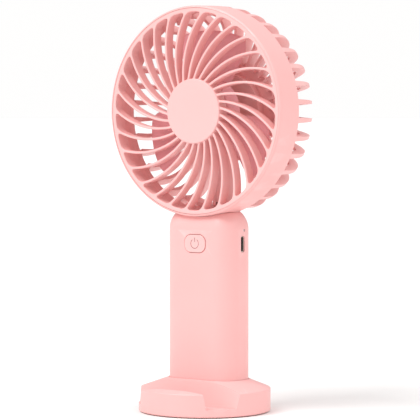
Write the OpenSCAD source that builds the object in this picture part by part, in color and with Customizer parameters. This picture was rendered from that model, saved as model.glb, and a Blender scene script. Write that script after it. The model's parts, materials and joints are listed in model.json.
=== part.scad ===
// Handheld electric fan standing in its round phone-stand base.
// The fan blows towards -Y, +Z is up, and the origin is the middle of the base's underside.

/* [Base] */
// Radius of the round base
base_r = 31.6; // [31:0.1:36]
// Height of the base's upright wall above the table
base_wall_h = 11.5; // [10.5:0.1:13]
// Height of the base where its sloping top meets the handle
seat_z = 15.7; // [14.5:0.1:17]
// Height of the phone groove's floor
groove_floor_z = 4; // [3.8:0.1:5]
// Width of the phone groove's floor
groove_floor_w = 11.5; // [9:0.5:12]

/* [Handle] */
// Width of the handle
handle_w = 39.3; // [38.5:0.1:40]
// Depth of the handle
handle_d = 22.5; // [22.5:0.1:24]
// Radius of the handle's upright corners
handle_corner_r = 9; // [7:0.5:10]
// Height of the handle's top above the table
handle_top_z = 95.6; // [95.4:0.1:96.4]
// Distance of the handle's middle behind the middle of the base
handle_y = 3.5; // [3:0.1:4]
// Wall of the handle's tube
handle_wall = 1.8; // [1.4:0.1:1.8]

/* [Head] */
// Height of the fan's axis above the table
axis_z = 143.4; // [143.2:0.1:144.4]
// Radius of the head's front rim
rim_r = 50; // [50:0.1:50.4]
// Number of curved fins in the front grille
fin_count = 30; // [24:1:32]
// Thickness of a front fin
fin_t = 1.15; // [0.9:0.05:1.4]
// Angle that a front fin sweeps between the disc and the rim
fin_sweep = 31; // [20:1:40]
// Radius of the plain disc in the middle of the front grille
disc_r = 15.4; // [15.2:0.1:16]
// Number of places for ribs around the rear grille
rib_places = 36; // [30:2:40]
// Thickness of a rear rib where it leaves the round shell
rib_t = 2.6; // [2:0.1:2.8]

/* [Impeller] */
// Number of blades
blade_count = 3; // [2:1:5]
// Radius at the blades' tips
blade_tip_r = 38.5; // [36:0.1:46.5]
// Angle that one blade covers
blade_sweep = 56; // [40:1:80]
// Angle of the first blade's middle, clockwise from the top
blade_phase = 2.5; // [0:0.5:119]

/* [Hidden] */
$fn = 96;
eps = 0.2;
clear = 0.1;

// Base
pad_drop = 0.4;
plate_r = base_r - 2.6;
plate_t = 2;
plate_top_z = pad_drop + plate_t;
pad_places = [[-16, -16], [16, -16], [-16, 16], [16, 16]];
pad_r = 4.5;
pad_t = 1;
base_screw_places = [[-24.6, 2], [24.6, 2], [0, 22.8]];
base_boss_r = 2.5;
socket_gap = 0.3;
socket_floor_z = 5.2;
socket_wall = 2;
seat_rim = 0.6;
base_edge_r = 0.8;
groove_back_y = -13.5;
groove_lean = 0.25;
groove_front_lean = 0.12;
groove_wall = 1.8;

// Handle
handle_bottom_z = 5.5;
top_wall = 5;
shoulder_h = 8.5;
shoulder_in = 3.3;
shoulder_r = (shoulder_h * shoulder_h + shoulder_in * shoulder_in) / (2 * shoulder_in);
inner_w = handle_w - 2 * handle_wall;
inner_d = handle_d - 2 * handle_wall;
inner_corner_r = handle_corner_r - handle_wall;
inner_top_z = handle_top_z - top_wall;
cap_t = 2.4;
cap_top_z = handle_bottom_z + cap_t;
cap_screw_x = 13;
neck_w = 32.5;
neck_d = 16.5;
neck_r = 7.5;
spigot_w = 14;
spigot_d = 13;
spigot_y = 5.5;
spigot_bottom_z = 90;
lead_hole_w = 8;
lead_hole_d = 3.4;
lead_hole_y = 9.4;
neck_screw_x = 11.5;
neck_screw_y = 1;
neck_screw_z = handle_top_z + 1.2;

// Battery and board
cell_r = 9.1;
sleeve_t = 0.15;
cell_z = 8.9;
cell_h = 65;
frame_plate_t = 0.8;
frame_top_z = cell_z + cell_h + 1.7;
frame_gap = 0.3;
frame_windows = 4;
window_pitch = 15.2;
board_y = handle_y - 2;
board_t = 1.2;
board_w = 33.4;
board_z = frame_top_z + 0.2;
board_h = 13.4;
button_z = 80.5;
usb_y = handle_y + 0.55;
usb_z = 80.3;
usb_h = 7.4;
usb_t = 2.7;
usb_x = 12.6;
usb_end_x = handle_w / 2 - 0.6;
led_y = handle_y + 1.7;
led_z = 86.9;
led_hole_r = 0.65;
button_w = 12.2;
button_h = 8.4;
button_corner_r = 3.7;
button_gap = 0.2;
front_y = handle_y - handle_d / 2;
button_proud = 0.3;
icon_r = 2.25;
icon_line = 0.4;
icon_depth = 0.3;
icon_gap_angle = 34;
switch_side = 6;
switch_t = 3.5;
plunger_r = 1.7;

// Head, as distances in front of the fan's axis origin: front is towards -Y
disc_front = 9.7;
rim_front = 9;
fin_front = 8.9;
fin_back = 3.6;
grille_back = 2;
disc_t = 1.6;
skirt_t = 1.2;
grille_seat_r = rim_r - 1;
duct_r = rim_r - 2;
slot_end_r = duct_r - 0.9;
shell_back = -5.9;
flare = 0.3;
shell_back_r = rim_r + flare;
rear_ring_out_r = rim_r - 0.8;
rear_ring_in_r = rim_r - 2;
rear_ring_front = -3;
rear_ring_back = -6.5;
rib_out_r = shell_back_r - 0.1;
rib_in_r = rib_out_r - 4;
rib_back_t = 0.8;
rib_bend = -11.15;
rib_side_r = 20;
rib_back_r = 8;
rib_inner_r = 8;
rib_turn = 40;
rib_back = rib_bend - (rib_side_r - rib_back_r) * sin(rib_turn) - rib_back_r;
rib_front = -20.5;
rear_disc_r = 24;
rear_disc_back = rib_back - 0.1;
rear_disc_front = -24;
pedestal_r = 17.5;
pedestal_front = -19.5;
neck_half_angle = 20;
apron_half_angle = 25.4;
apron_front = -10.4;
apron_back = -19;
apron_r = 47.2;
apron_t = 2;
apron_corner_r = 4;
spoke_w = 8.4;
spoke_front = -12.4;
spoke_back = -20.3;
channel_w = 4.8;
channel_floor = -16.6;
cover_t = 0.8;

// Motor
hub_r = 14.9;
hub_front = 1.9;
hub_back = -8.4;
hub_wall = 1.25;
blade_front = 1.3;
blade_back = -10.3;
blade_t = 1.5;
cup_r = hub_r - hub_wall;
cup_t = 0.8;
cup_front = hub_front - 1.4;
cup_back = -8;
magnet_in_r = 11.2;
magnet_front = -0.9;
magnet_back = -7.6;
boss_r = 2.2;
boss_back = -1.2;
shaft_r = 1;
shaft_back = -15.4;
tube_r = 3.9;
tube_in_r = 2.6;
tube_front = -1.6;
tube_back = -17;
bush_len = 4;
bush_rear_front = -9;
bush_clear = 0.03;
clip_front = -13.4;
clip_t = 0.4;
stator_r = 10.9;
stator_front = -2.2;
stator_back = -6.8;
tooth_count = 6;
tooth_w = 2.4;
coil_front = -1.4;
coil_back = -7.6;
motor_board_r = 10.5;
motor_board_front = -8.6;
motor_board_back = -9.6;
lead_r = 0.55;
lead_step = 1.4;

// Route of the motor's middle lead, held all the way by the rear grille and the neck
motor_route = [[0, 9.65, 136], [0, 10.8, 136], [0, 12.6, 135], [0, 14.2, 133], [0, 14.8, 130.4],
    [0, 14.8, 100.2], [0, 14.1, 98.5], [0, 12.4, 97.6], [0, 10.6, 96.8], [0, 9.5, 95.2], [0, 9.4, 90.4],
    [0, 8.4, 89.3], [0, 6.4, 88.6], [0, 2.7, 88.6]];
// Routes of the battery's two leads, up the side of the cell to the board
red_route = [[0, 3.5, 74.65], [3, 4.6, 74.65], [5.8, 5.9, 74.8], [6.6, 6, 77], [6.6, 5, 77.8],
    [6.6, 2.7, 77.8]];
black_route = [[-9.6, 10.4, 9.3], [-12, 10.4, 9.8], [-12.6, 10, 11.4], [-12.6, 10, 73.4],
    [-11.2, 9.2, 76.6], [-10.9, 6, 77.8], [-10.9, 2.7, 77.8]];

pink = [0.98, 0.80, 0.79];
pink_light = [0.99, 0.84, 0.83];
pink_deep = [0.86, 0.62, 0.64];

// Point at radius r and angle a, clockwise from the top as seen from the front
function cw(r, a) = [r * sin(a), r * cos(a)];
// Middle of the circle through three points
function circle_d(a, b, c) = 2 * (a.x * (b.y - c.y) + b.x * (c.y - a.y) + c.x * (a.y - b.y));
function circle_mid(a, b, c) = [
    (a * a * (b.y - c.y) + b * b * (c.y - a.y) + c * c * (a.y - b.y)) / circle_d(a, b, c),
    (a * a * (c.x - b.x) + b * b * (a.x - c.x) + c * c * (b.x - a.x)) / circle_d(a, b, c)];

// Rectangle with round corners, exact arcs
module rounded_rect(w, d, r) {
    square([w - 2 * r, d], center = true);
    square([w, d - 2 * r], center = true);
    for (sx = [-1, 1], sy = [-1, 1])
        translate([sx * (w / 2 - r), sy * (d / 2 - r)])
            circle(r);
}

// Upright block with round corners between two heights
module rounded_block(w, d, r, z_low, z_high) {
    translate([0, 0, z_low])
        linear_extrude(z_high - z_low)
            rounded_rect(w, d, r);
}

// Upright cylinder between two heights
module post(r, z_low, z_high) {
    translate([0, 0, z_low])
        cylinder(r = r, h = z_high - z_low);
}

// Upright tube between two heights
module pipe(r_out, r_in, z_low, z_high) {
    difference() {
        post(r_out, z_low, z_high);
        post(r_in, z_low - 1, z_high + 1);
    }
}

// Moves children from the head's own frame, z forward and y up, into place
module on_head() {
    translate([0, 0, axis_z])
        rotate([90, 0, 0])
            children();
}

// Moves children so that their z runs along +X
module along_x() {
    rotate([90, 0, 90])
        children();
}

// Direction from point a to point b
function heading(a, b) = (b - a) / norm(b - a);
// Direction of the route at point i, halfway between its two runs
function bend(route, i) =
    i == 0 ? heading(route[0], route[1])
    : i == len(route) - 1 ? heading(route[i - 1], route[i])
    : heading([0, 0, 0], heading(route[i - 1], route[i]) + heading(route[i], route[i + 1]));

// Wire swept along a route that lies in planes close to upright ones
module wire(route, r) {
    sides = 8;
    across = [1, 0.02, 0.01];
    last = len(route) - 1;
    rings = [for (i = [0 : last]) let (t = bend(route, i), n = heading([0, 0, 0], cross(t, across)), b = cross(n, t))
        for (k = [0 : sides - 1]) route[i] + r * (cos(k * 360 / sides) * n + sin(k * 360 / sides) * b)];
    walls = [for (i = [0 : last - 1], k = [0 : sides - 1])
        let (a = i * sides + k, b = i * sides + (k + 1) % sides) [a, b, b + sides, a + sides]];
    polyhedron(rings, concat(walls, [[for (k = [sides - 1 : -1 : 0]) k]],
        [[for (k = [0 : sides - 1]) last * sides + k]]));
}

// Pan-head screw with its head's top at z = 0, pointing up
module screw_up(head_r, head_h, shank_r, reach) {
    difference() {
        union() {
            post(head_r, 0, head_h);
            post(shank_r, head_h - eps, reach);
        }
        for (a = [0, 90])
            rotate([0, 0, a])
                translate([-head_r * 0.6, -0.2, -1])
                    cube([head_r * 1.2, 0.4, 1 + head_h * 0.5]);
    }
}

// ---- Base ----

// Outline of the base's round wall, turned about Z
module base_outline() {
    edge = base_edge_r;
    translate([0, pad_drop])
        square([base_r - edge, base_wall_h - pad_drop]);
    translate([0, pad_drop + edge])
        square([base_r, base_wall_h - pad_drop - 2 * edge]);
    translate([base_r - edge, pad_drop + edge])
        circle(edge);
    translate([base_r - edge, base_wall_h - edge])
        circle(edge);
}

// Groove across the base that a phone stands in, grown by a wall's thickness
module phone_groove(grow) {
    top_z = seat_z + 4;
    rise = top_z - groove_floor_z;
    front_y = groove_back_y - groove_floor_w;
    translate([-base_r - 1, 0, 0])
        along_x()
            linear_extrude(2 * base_r + 2)
                polygon([[groove_back_y + grow, groove_floor_z - grow],
                    [front_y - grow, groove_floor_z - grow],
                    [front_y - grow - groove_front_lean * rise, top_z],
                    [groove_back_y + grow + groove_lean * rise, top_z]]);
}

// Sloping top that runs from a round rim up to the outline of the handle's socket
module base_slope(r, low_z, high_z) {
    rim = seat_rim + socket_gap;
    hull() {
        post(r, low_z - 0.6, low_z - 0.1);
        translate([0, handle_y, 0])
            rounded_block(handle_w + 2 * rim, handle_d + 2 * rim, handle_corner_r + rim, high_z - 0.1, high_z);
    }
}

// Hollow moulded into the base from below, leaving the walls, socket and bosses
module base_core() {
    difference() {
        union() {
            post(plate_r, plate_top_z - eps, base_wall_h - 2.2);
            base_slope(plate_r - 0.1, base_wall_h - 2.2, seat_z - 2);
        }
        translate([0, handle_y, 0])
            rounded_block(handle_w + 2 * socket_gap + 2 * socket_wall,
                handle_d + 2 * socket_gap + 2 * socket_wall,
                handle_corner_r + socket_gap + socket_wall, 0, seat_z);
        phone_groove(groove_wall);
        for (p = base_screw_places)
            translate([p.x, p.y, 0])
                post(base_boss_r, 0, seat_z);
    }
}

module base_shell() {
    color(pink)
        difference() {
            union() {
                rotate_extrude()
                    base_outline();
                base_slope(base_r - base_edge_r, base_wall_h, seat_z);
            }
            post(plate_r, 0, plate_top_z);
            base_core();
            phone_groove(0);
            translate([0, handle_y, 0])
                rounded_block(handle_w + 2 * socket_gap, handle_d + 2 * socket_gap,
                    handle_corner_r + socket_gap, socket_floor_z, seat_z + 1);
            for (p = base_screw_places)
                translate([p.x, p.y, 0])
                    post(0.95, 0, 8);
        }
}

module base_plate() {
    color(pink)
        difference() {
            post(plate_r - clear, pad_drop, plate_top_z);
            for (p = pad_places)
                translate([p.x, p.y, 0])
                    post(pad_r, -1, pad_t);
            for (p = base_screw_places)
                translate([p.x, p.y, 0]) {
                    post(1.2, -1, plate_top_z + 1);
                    post(2.3, -1, pad_drop + 1.2);
                }
        }
}

module base_screws() {
    color("silver")
        for (p = base_screw_places)
            translate([p.x, p.y, pad_drop + 0.2])
                screw_up(2.1, 1, 0.95, 7);
}

module base_pads() {
    color("gainsboro")
        for (p = pad_places)
            translate([p.x, p.y, 0])
                post(pad_r, 0, pad_t);
}

// ---- Handle ----

// Half-plane outline that keeps one side and its round shoulder
module shoulder_side(width) {
    mid_x = width / 2 - shoulder_r;
    low_h = handle_top_z - shoulder_h;
    translate([-100, 0])
        square([100 + width / 2, low_h]);
    translate([-100, 0])
        square([100 + mid_x, handle_top_z]);
    translate([mid_x, low_h])
        circle(shoulder_r);
}

// Outline of the handle's silhouette with both shoulders
module shoulder_outline(width) {
    intersection() {
        shoulder_side(width);
        mirror([1, 0])
            shoulder_side(width);
        translate([-width, handle_bottom_z])
            square([2 * width, handle_top_z - handle_bottom_z]);
    }
}

// The handle's outside as one solid block
module handle_block() {
    translate([0, handle_y, 0])
        intersection() {
            rounded_block(handle_w, handle_d, handle_corner_r, handle_bottom_z, handle_top_z);
            translate([0, 30, 0])
                rotate([90, 0, 0])
                    linear_extrude(60)
                        shoulder_outline(handle_w);
            translate([-30, 0, 0])
                along_x()
                    linear_extrude(60)
                        shoulder_outline(handle_d);
        }
}

// Space that the head's round shell takes out of the handle's top
module head_scoop() {
    on_head() {
        translate([0, 0, shell_back - 0.2])
            cylinder(r1 = shell_back_r + clear, r2 = rim_r + clear, h = rim_front - shell_back + 1);
        post(rear_ring_out_r + clear, rear_ring_back - 0.1, rear_ring_front);
    }
}

module handle_shell() {
    color(pink)
        difference() {
            handle_block();
            translate([0, handle_y, 0])
                rounded_block(inner_w, inner_d, inner_corner_r, 0, inner_top_z);
            head_scoop();
            translate([0, spigot_y, 0])
                rounded_block(spigot_w + clear, spigot_d + clear, 2, inner_top_z - 1, handle_top_z + 1);
            for (sx = [-1, 1])
                translate([sx * neck_screw_x, neck_screw_y, 0])
                    post(0.95, inner_top_z - 1, handle_top_z + 1);
            // Opening for the button
            translate([0, front_y + handle_wall + 1, button_z])
                rotate([90, 0, 0])
                    linear_extrude(handle_wall + 2)
                        rounded_rect(button_w + 2 * button_gap, button_h + 2 * button_gap,
                            button_corner_r + button_gap);
            // Opening for the charging inlet
            translate([handle_w / 2 - handle_wall - 1, usb_y, usb_z])
                along_x()
                    linear_extrude(handle_wall + 2)
                        rounded_rect(usb_t + 0.3, usb_h + 0.3, 1);
            // Hole for the charging light
            translate([handle_w / 2 - handle_wall - 1, led_y, led_z])
                along_x()
                    cylinder(r = led_hole_r, h = handle_wall + 2);
        }
}

module handle_bottom_cap() {
    color(pink)
        translate([0, handle_y, 0])
            difference() {
                rounded_block(inner_w - 2 * clear, inner_d - 2 * clear, inner_corner_r - clear,
                    handle_bottom_z, cap_top_z);
                for (sx = [-1, 1])
                    translate([sx * cap_screw_x, 0, 0]) {
                        post(1.2, 0, cap_top_z + 1);
                        post(2.2, 0, handle_bottom_z + 1.2);
                    }
            }
}

module cap_screws() {
    color("silver")
        for (sx = [-1, 1])
            translate([sx * cap_screw_x, handle_y, handle_bottom_z + 0.2])
                screw_up(2, 1, 0.95, 7);
}

// Carrier that holds the cell and the board, screwed to the bottom cap
module inner_frame() {
    top = frame_top_z;
    color("whitesmoke")
        translate([0, handle_y, 0])
            difference() {
                union() {
                    rounded_block(inner_w - 2 * frame_gap, inner_d - 2 * frame_gap,
                        inner_corner_r - frame_gap, cap_top_z, top);
                    for (sx = [-1, 1])
                        translate([sx * 13.5 - 1.5, -0.75, top - eps])
                            cube([3, 4.5, 3.2]);
                }
                post(cell_r + sleeve_t + 0.1, cap_top_z + frame_plate_t, top - frame_plate_t);
                // Window for the cell's upper tab and lead
                translate([-3, -4, top - 2])
                    cube([12, 8, 4]);
                // Groove down the side for the lower lead
                translate([-14, 5, cap_top_z + frame_plate_t])
                    cube([3, 6, top]);
                translate([-14, 5, cap_top_z + frame_plate_t])
                    cube([8, 6, 2.2]);
                // Windows that lighten both side pillars
                for (sx = [-1, 1], k = [0 : frame_windows - 1])
                    translate([sx * 14.4 - 1.7, -20, cap_top_z + 5.5 + k * window_pitch])
                        cube([3.4, sx > 0 ? 40 : 24, window_pitch - 2]);
                // Step under the button's flange
                translate([-7.5, -20, top - 0.5])
                    cube([15, 13, 1]);
                // Space beside the charging inlet
                translate([usb_x - 1, -1, top])
                    cube([8, 6, 6]);
                for (sx = [-1, 1])
                    translate([sx * cap_screw_x, 0, 0])
                        post(0.95, 0, handle_bottom_z + 7.4);
            }
}

// ---- Battery ----

module battery_cell() {
    color("silver")
        translate([0, handle_y, 0])
            union() {
                post(cell_r, cell_z, cell_z + cell_h - 0.6);
                post(3.4, cell_z + cell_h - 0.6 - eps, cell_z + cell_h);
            }
}

module battery_sleeve() {
    color("steelblue")
        translate([0, handle_y, 0])
            difference() {
                post(cell_r + sleeve_t, cell_z, cell_z + cell_h - 0.4);
                post(cell_r, cell_z - 1, cell_z + cell_h - 0.6);
                post(cell_r - 2.2, cell_z, cell_z + cell_h);
            }
}

module battery_tabs() {
    color("gainsboro")
        translate([0, handle_y, 0]) {
            translate([-2.5, -2, cell_z + cell_h])
                cube([5, 4, 0.2]);
            translate([-9.5, 5.2, cell_z - 0.2])
                cube([6, 2, 0.2]);
        }
}

module battery_leads() {
    color("firebrick") wire(red_route, 0.5);
    color("dimgray") wire(black_route, 0.5);
}

// ---- Circuit board, switch and inlet ----

module circuit_board() {
    color("seagreen")
        translate([-board_w / 2, board_y, board_z])
            cube([board_w, board_t, board_h]);
}

module board_chips() {
    back_y = board_y + board_t;
    color("dimgray") {
        translate([-3, back_y, board_z + 6.4])
            cube([5, 1.5, 4]);
        translate([-11, back_y, board_z + 7])
            cube([4, 2.4, 4]);
        translate([4.5, back_y, board_z + 6.5])
            cube([2.9, 1.1, 1.6]);
        translate([4.5, back_y, board_z + 9.5])
            cube([2, 1, 1.25]);
        translate([-14.6, back_y, board_z + 8])
            cube([1.6, 0.8, 0.8]);
        translate([8.4, back_y, board_z + 9.5])
            cube([1.6, 0.8, 0.8]);
    }
}

module charge_led() {
    color("ivory")
        translate([13.6, board_y + board_t, led_z - 1])
            cube([2, 3, 2]);
}

module light_pipe() {
    color("mistyrose")
        translate([15.6, led_y, led_z])
            along_x()
                cylinder(r = led_hole_r, h = handle_w / 2 - 0.35 - 15.6);
}

module usb_inlet() {
    color("silver")
        translate([usb_x, usb_y, usb_z])
            along_x()
                difference() {
                    linear_extrude(usb_end_x - usb_x)
                        rounded_rect(usb_t, usb_h, 0.6);
                    translate([0, 0, 1.2])
                        linear_extrude(usb_end_x)
                            rounded_rect(usb_t - 0.6, usb_h - 0.6, 0.4);
                }
}

module usb_tongue() {
    color("black")
        translate([usb_x + 1.2, usb_y + 0.1, usb_z])
            along_x()
                translate([-0.35, -2.4, 0])
                    cube([0.7, 4.8, 4]);
}

module switch_body() {
    color("black")
        difference() {
            translate([-switch_side / 2, board_y - switch_t, button_z - switch_side / 2])
                cube([switch_side, switch_t, switch_side]);
            translate([0, board_y - 1.1, button_z])
                rotate([90, 0, 0])
                    cylinder(r = plunger_r + 0.15, h = switch_t);
        }
}

module switch_plunger() {
    color("ivory")
        translate([0, board_y - 2.2, button_z])
            rotate([90, 0, 0])
                cylinder(r = plunger_r, h = 2.5);
}

// Power mark: an open ring with a bar in its gap
module icon_outline() {
    difference() {
        circle(icon_r + icon_line / 2);
        circle(icon_r - icon_line / 2);
        polygon([[0, 0], 2 * icon_r * [sin(-icon_gap_angle), cos(icon_gap_angle)],
            2 * icon_r * [sin(icon_gap_angle), cos(icon_gap_angle)]]);
    }
    translate([-icon_line / 2, icon_r * 0.35])
        square([icon_line, icon_r * 0.95]);
}

module power_button() {
    face_y = front_y - button_proud;
    flange_y = front_y + handle_wall + 0.1;
    color(pink_light)
        difference() {
            union() {
                translate([0, flange_y + 0.1, button_z])
                    rotate([90, 0, 0])
                        linear_extrude(flange_y + 0.1 - face_y)
                            rounded_rect(button_w, button_h, button_corner_r);
                translate([0, flange_y + 0.9, button_z])
                    rotate([90, 0, 0])
                        linear_extrude(0.9)
                            rounded_rect(button_w + 1.6, button_h + 1.6, button_corner_r + 0.8);
                translate([0, board_y - 4.7, button_z])
                    rotate([90, 0, 0])
                        cylinder(r = 2, h = board_y - 4.7 - flange_y);
            }
            translate([0, face_y + icon_depth, button_z])
                rotate([90, 0, 0])
                    linear_extrude(2)
                        icon_outline();
        }
}

module power_icon() {
    color("rosybrown")
        translate([0, front_y - button_proud + icon_depth, button_z])
            rotate([90, 0, 0])
                linear_extrude(icon_depth)
                    icon_outline();
}

// ---- Head ----

// Neck block and spigot under the head's round shell
module neck_block() {
    translate([0, handle_y, 0])
        rounded_block(neck_w, neck_d, neck_r, handle_top_z, handle_top_z + 8);
    translate([0, spigot_y, 0])
        rounded_block(spigot_w, spigot_d, 1.95, spigot_bottom_z, handle_top_z + 2);
}

module head_shell() {
    edge = 1;
    color(pink)
        difference() {
            union() {
                on_head()
                    rotate_extrude()
                        difference() {
                            union() {
                                polygon([[duct_r, shell_back], [shell_back_r, shell_back],
                                    [rim_r, rim_front - edge], [duct_r, rim_front - edge]]);
                                translate([duct_r, rim_front - 2 * edge])
                                    square([rim_r - edge - duct_r, 2 * edge]);
                                translate([rim_r - edge, rim_front - edge])
                                    circle(edge, $fn = 48);
                            }
                            translate([0, grille_back - 0.1])
                                square([grille_seat_r, 20]);
                            translate([0, shell_back - 1])
                                square([rear_ring_out_r + clear, rear_ring_front + 0.1 - shell_back + 1]);
                        }
                difference() {
                    neck_block();
                    on_head()
                        post(rear_ring_out_r + clear, shell_back - 20, rear_ring_front + 0.1);
                    on_head()
                        post(duct_r, rear_ring_front, grille_back);
                    on_head()
                        post(grille_seat_r, grille_back - 0.1, 20);
                }
                // Saddle behind the round shell, under the rear grille
                intersection() {
                    neck_block();
                    on_head()
                        difference() {
                            post(80, -20, rear_ring_back - 0.1);
                            post(apron_r + clear, -21, 0);
                        }
                }
            }
            translate([-lead_hole_w / 2, lead_hole_y - lead_hole_d / 2, spigot_bottom_z - 1])
                cube([lead_hole_w, lead_hole_d, 12]);
            for (sx = [-1, 1])
                translate([sx * neck_screw_x, neck_screw_y, 0]) {
                    post(1.2, 80, 110);
                    post(2.2, neck_screw_z - 1, 110);
                }
        }
}

module neck_screws() {
    color("silver")
        for (sx = [-1, 1])
            translate([sx * neck_screw_x, neck_screw_y, neck_screw_z])
                rotate([180, 0, 0])
                    screw_up(2, 1, 0.95, 5.4);
}

// One curved fin as a flat outline, a piece of a thin ring
module fin_outline() {
    start = cw(disc_r - 0.8, -0.5);
    middle = cw((disc_r + duct_r) / 2, fin_sweep * 0.54);
    finish = cw(duct_r + 0.4, fin_sweep + 0.5);
    mid = circle_mid(start, middle, finish);
    r = norm(start - mid);
    intersection() {
        translate(mid)
            difference() {
                circle(r + fin_t / 2, $fn = 180);
                circle(r - fin_t / 2, $fn = 180);
            }
        polygon([[0, 0], cw(duct_r * 0.6, -26), cw(duct_r + 3, 10), cw(duct_r + 3, fin_sweep + 14),
            cw(duct_r * 0.6, fin_sweep + 10)]);
        difference() {
            circle(duct_r + 0.4);
            circle(disc_r - 0.5);
        }
    }
}

module front_grille() {
    color(pink_light)
        on_head()
            union() {
                pipe(grille_seat_r - clear, slot_end_r, grille_back, rim_front);
                post(disc_r, disc_front - disc_t, disc_front);
                pipe(disc_r, disc_r - skirt_t, fin_back - 0.1, disc_front - disc_t + eps);
                for (i = [0 : fin_count - 1])
                    rotate([0, 0, -i * 360 / fin_count])
                        translate([0, 0, fin_back])
                            linear_extrude(fin_front - fin_back)
                                fin_outline();
            }
}

// One rear rib as an outline in radius and depth
module rib_outline() {
    side_mid = [rib_out_r - rib_side_r, rib_bend];
    turn = [cos(rib_turn), -sin(rib_turn)];
    back_mid = side_mid + (rib_side_r - rib_back_r) * turn;
    difference() {
        union() {
            polygon([[rear_disc_r - 1, shell_back - 0.05], [rib_out_r, shell_back - 0.05],
                [rib_out_r, rib_bend], side_mid + rib_side_r * turn,
                [back_mid.x, rib_back], [rear_disc_r - 1, rib_back]]);
            intersection() {
                translate(side_mid)
                    circle(rib_side_r);
                polygon([side_mid, side_mid + [2 * rib_side_r, 0],
                    side_mid + 2 * rib_side_r * turn]);
            }
            translate(back_mid)
                circle(rib_back_r, $fn = 64);
        }
        translate([0, rib_front + rib_inner_r])
            square([rib_in_r, 40]);
        translate([0, rib_front])
            square([rib_in_r - rib_inner_r, 40]);
        translate([rib_in_r - rib_inner_r, rib_front + rib_inner_r])
            circle(rib_inner_r, $fn = 48);
    }
}

// One rear rib, which thins towards its back
module rear_rib() {
    intersection() {
        translate([0, rib_t / 2 + 0.1, 0])
            rotate([90, 0, 0])
                linear_extrude(rib_t + 0.2)
                    rib_outline();
        along_x()
            linear_extrude(rib_out_r + 1)
                polygon([[-rib_t / 2, shell_back + 1], [rib_t / 2, shell_back + 1],
                    [rib_back_t / 2, rib_back - 1], [-rib_back_t / 2, rib_back - 1]]);
    }
}

// Whether the rib at angle a, clockwise from the top, stands clear of the neck
function rib_stands(a) = abs(a - 180) > neck_half_angle;

module rear_grille() {
    pitch = 360 / rib_places;
    color(pink)
        on_head()
            difference() {
                union() {
                    pipe(rear_ring_out_r, rear_ring_in_r, rear_ring_back, rear_ring_front);
                    for (i = [0 : rib_places - 1])
                        if (rib_stands(pitch * (i + 0.5)))
                            rotate([0, 0, 90 - pitch * (i + 0.5)])
                                rear_rib();
                    post(rear_disc_r, rear_disc_back, rear_disc_front);
                    post(pedestal_r, rear_disc_front - 1, pedestal_front);
                    post(6, pedestal_front - eps, motor_board_back);
                    lead_spoke();
                    neck_apron();
                }
                // Bearing tube's seat, open to the front
                post(tube_r, tube_back, 0);
                // Channel for the motor's leads
                translate([-channel_w / 2, -apron_r - 1, channel_floor])
                    cube([channel_w, apron_r - 4.5, 20]);
            }
}

// Wide spoke from the middle post to the neck, which carries the motor's leads
module lead_spoke() {
    corner = apron_corner_r;
    translate([-spoke_w / 2, 0, 0])
        rotate([90, 0, 90])
            linear_extrude(spoke_w) {
                polygon([[-5, spoke_back], [-apron_r + corner, spoke_back],
                    [-apron_r + 0.3, spoke_back + corner], [-apron_r + 0.3, spoke_front],
                    [-5, spoke_front]]);
                translate([-apron_r + 0.3 + corner, spoke_back + corner])
                    circle(corner, $fn = 48);
            }
}

// Wall that closes the bottom of the rear grille over the neck
module neck_apron() {
    reach = 80;
    intersection() {
        pipe(apron_r, apron_r - apron_t, apron_back, apron_front);
        linear_extrude(100, center = true)
            polygon([[0, 0], cw(reach, 180 - apron_half_angle), cw(reach, 180 + apron_half_angle)]);
    }
}

module lead_cover() {
    color(pink)
        on_head()
            translate([-channel_w / 2 + 0.05, -apron_r + apron_t + 1.4, spoke_front - cover_t])
                cube([channel_w - 0.1, apron_r - apron_t - pedestal_r - 1.5, cover_t]);
}

// ---- Motor, fixed half ----

module bearing_tube() {
    color("goldenrod")
        on_head()
            difference() {
                post(tube_r, tube_back, tube_front);
                post(tube_in_r, tube_back + 0.6, tube_front + 1);
            }
}

module bushings() {
    color("peru")
        on_head() {
            pipe(tube_in_r, shaft_r + bush_clear, tube_front - bush_len, tube_front);
            pipe(tube_in_r, shaft_r + bush_clear, bush_rear_front - bush_len, bush_rear_front);
        }
}

// One tooth of the stator with its shoe's sector
module tooth_outline() {
    translate([4.6, -tooth_w / 2])
        square([stator_r - 5, tooth_w]);
    intersection() {
        difference() {
            circle(stator_r);
            circle(stator_r - 1.1);
        }
        polygon([[0, 0], 20 * [cos(25), -sin(25)], 20 * [cos(25), sin(25)]]);
    }
}

module stator_core() {
    color("slategray")
        on_head()
            translate([0, 0, stator_back])
                linear_extrude(stator_front - stator_back)
                    difference() {
                        union() {
                            circle(5.4);
                            for (i = [0 : tooth_count - 1])
                                rotate(i * 360 / tooth_count)
                                    tooth_outline();
                        }
                        circle(tube_r);
                    }
}

module stator_coils() {
    color("chocolate")
        on_head()
            for (i = [0 : tooth_count - 1])
                rotate([0, 0, i * 360 / tooth_count])
                    difference() {
                        translate([5.6, -2.5, coil_back])
                            cube([3.8, 5, coil_front - coil_back]);
                        translate([4, -tooth_w / 2, stator_back])
                            cube([8, tooth_w, stator_front - stator_back]);
                    }
}

module motor_board() {
    color("seagreen")
        on_head()
            pipe(motor_board_r, tube_r, motor_board_back, motor_board_front);
}

module motor_leads() {
    for (i = [-1 : 1])
        color(["white", "dimgray", "firebrick"][i + 1])
            translate([i * lead_step, 0, 0])
                wire(motor_route, lead_r);
}

// ---- Motor, turning half ----

// How far the blade's edge draws in at radius share v, which rounds its tip corners
function tip_draw(v) = v < 0.7 ? 0 : 0.16 * (1 - sqrt(max(0, 1 - pow((v - 0.7) / 0.3, 2))));

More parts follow.
